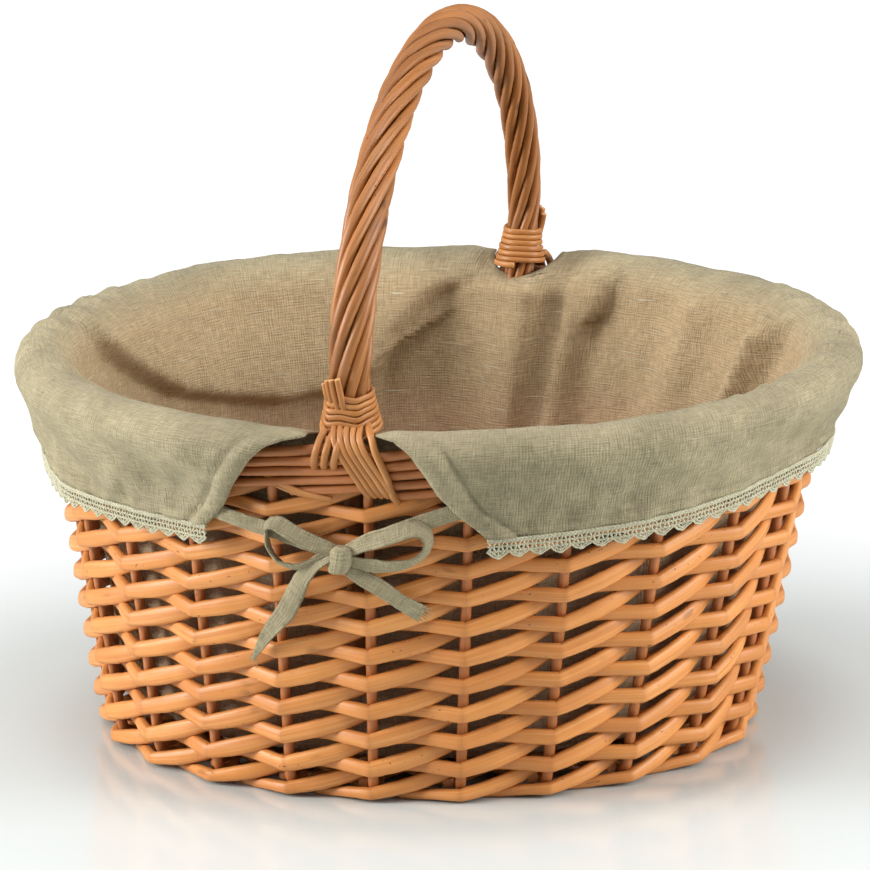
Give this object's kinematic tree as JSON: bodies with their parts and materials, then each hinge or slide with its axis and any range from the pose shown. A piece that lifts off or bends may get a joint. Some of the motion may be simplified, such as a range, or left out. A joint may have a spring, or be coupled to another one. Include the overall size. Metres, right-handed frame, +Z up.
{
  "type": "handled basket",
  "caption": "Oval woven willow basket with a fixed roped bow handle and a linen liner folded over the rim, edged with lace and tied with a bow.",
  "frame": {"origin": "on the floor under the middle of the rim; the basket leans a little, so the middle of its base lies 13 mm towards -X", "axes": "+Z up, +X along the long way of the oval, handle across it, front tie bow at -Y"},
  "size_m": [0.4926, 0.4206, 0.4194],
  "materials": {
    "willow_weavers": "smooth steamed willow, satin",
    "willow_stakes": "smooth steamed willow, satin, darker",
    "willow_base": "smooth willow, satin",
    "willow_handle": "smooth willow, satin",
    "willow_lashing": "split willow, satin",
    "linen": "plain woven linen, slubby",
    "lace": "crochet cotton edging",
    "linen_tape": "folded and sewn linen tape"
  },
  "bodies": {
    "root": {"stake_01": "willow_stakes", "stake_02": "willow_stakes", "stake_03": "willow_stakes", "stake_04": "willow_stakes", "stake_05": "willow_stakes", "stake_06": "willow_stakes", "stake_07": "willow_stakes", "stake_08": "willow_stakes", "stake_09": "willow_stakes", "stake_10": "willow_stakes", "stake_11": "willow_stakes", "stake_12": "willow_stakes", "stake_13": "willow_stakes", "stake_14": "willow_stakes", "stake_15": "willow_stakes", "stake_16": "willow_stakes", "stake_17": "willow_stakes", "stake_18": "willow_stakes", "stake_19": "willow_stakes", "stake_20": "willow_stakes", "stake_21": "willow_stakes", "stake_22": "willow_stakes", "weaver_01": "willow_weavers", "weaver_02": "willow_weavers", "weaver_03": "willow_weavers", "weaver_04": "willow_weavers", "weaver_05": "willow_weavers", "weaver_06": "willow_weavers", "weaver_07": "willow_weavers", "weaver_08": "willow_weavers", "weaver_09": "willow_weavers", "weaver_10": "willow_weavers", "weaver_11": "willow_weavers", "weaver_12": "willow_weavers", "weaver_13": "willow_weavers", "weaver_14": "willow_weavers", "weaver_15": "willow_weavers", "weaver_16": "willow_weavers", "weaver_17": "willow_weavers", "weaver_18": "willow_weavers", "weaver_19": "willow_weavers", "weaver_20": "willow_weavers", "weaver_21": "willow_weavers", "weaver_22": "willow_weavers", "base_cross_sticks": "willow_base", "base_weaver_a": "willow_base", "base_weaver_b": "willow_base", "handle_core": "willow_handle", "handle_strand_1": "willow_handle", "handle_strand_2": "willow_handle", "handle_strand_3": "willow_handle", "handle_strand_4": "willow_handle", "lashing_front": "willow_lashing", "lashing_rear": "willow_lashing", "liner": "linen", "lace_right": "lace", "lace_left": "lace", "tie_front": "linen_tape", "tie_rear": "linen_tape"}
  },
  "joints": []
}
